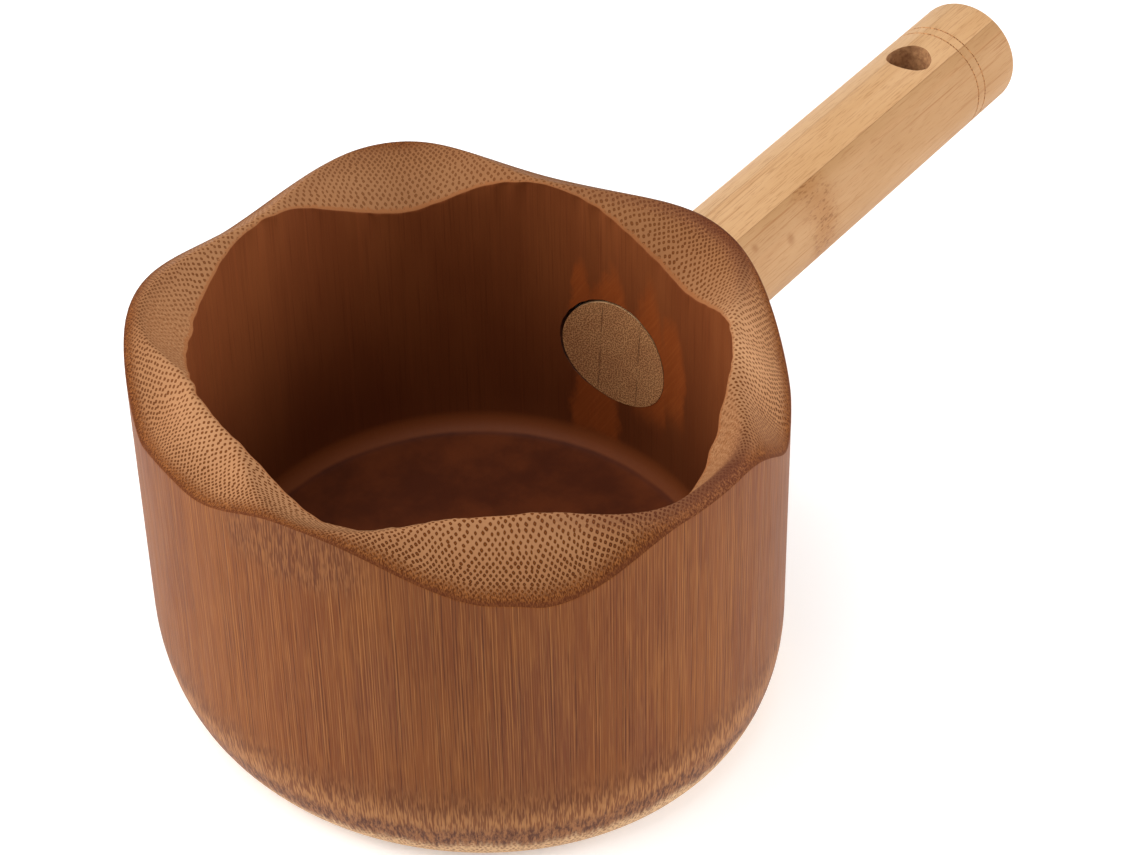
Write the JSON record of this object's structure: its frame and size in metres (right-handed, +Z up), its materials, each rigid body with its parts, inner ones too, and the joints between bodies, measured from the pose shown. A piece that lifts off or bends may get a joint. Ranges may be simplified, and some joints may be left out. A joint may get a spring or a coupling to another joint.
{
  "type": "sauna ladle",
  "caption": "Bamboo ladle: a deep bowl cut from a culm, with the node as its floor and a hand-carved wavy rim, on a round laminated handle with a hanging hole.",
  "frame": {"origin": "middle of the flat base of the bowl", "axes": "+Z up through the mouth of the bowl, +X from the bowl along the handle"},
  "size_m": [0.2463, 0.1231, 0.0788],
  "materials": {
    "carbonised_bamboo": "oiled satin",
    "natural_bamboo": "sanded, unvarnished"
  },
  "bodies": {
    "root": {"bowl": "carbonised_bamboo", "handle_strip_left": "natural_bamboo", "handle_strip_middle": "natural_bamboo", "handle_strip_right": "natural_bamboo"}
  },
  "joints": []
}
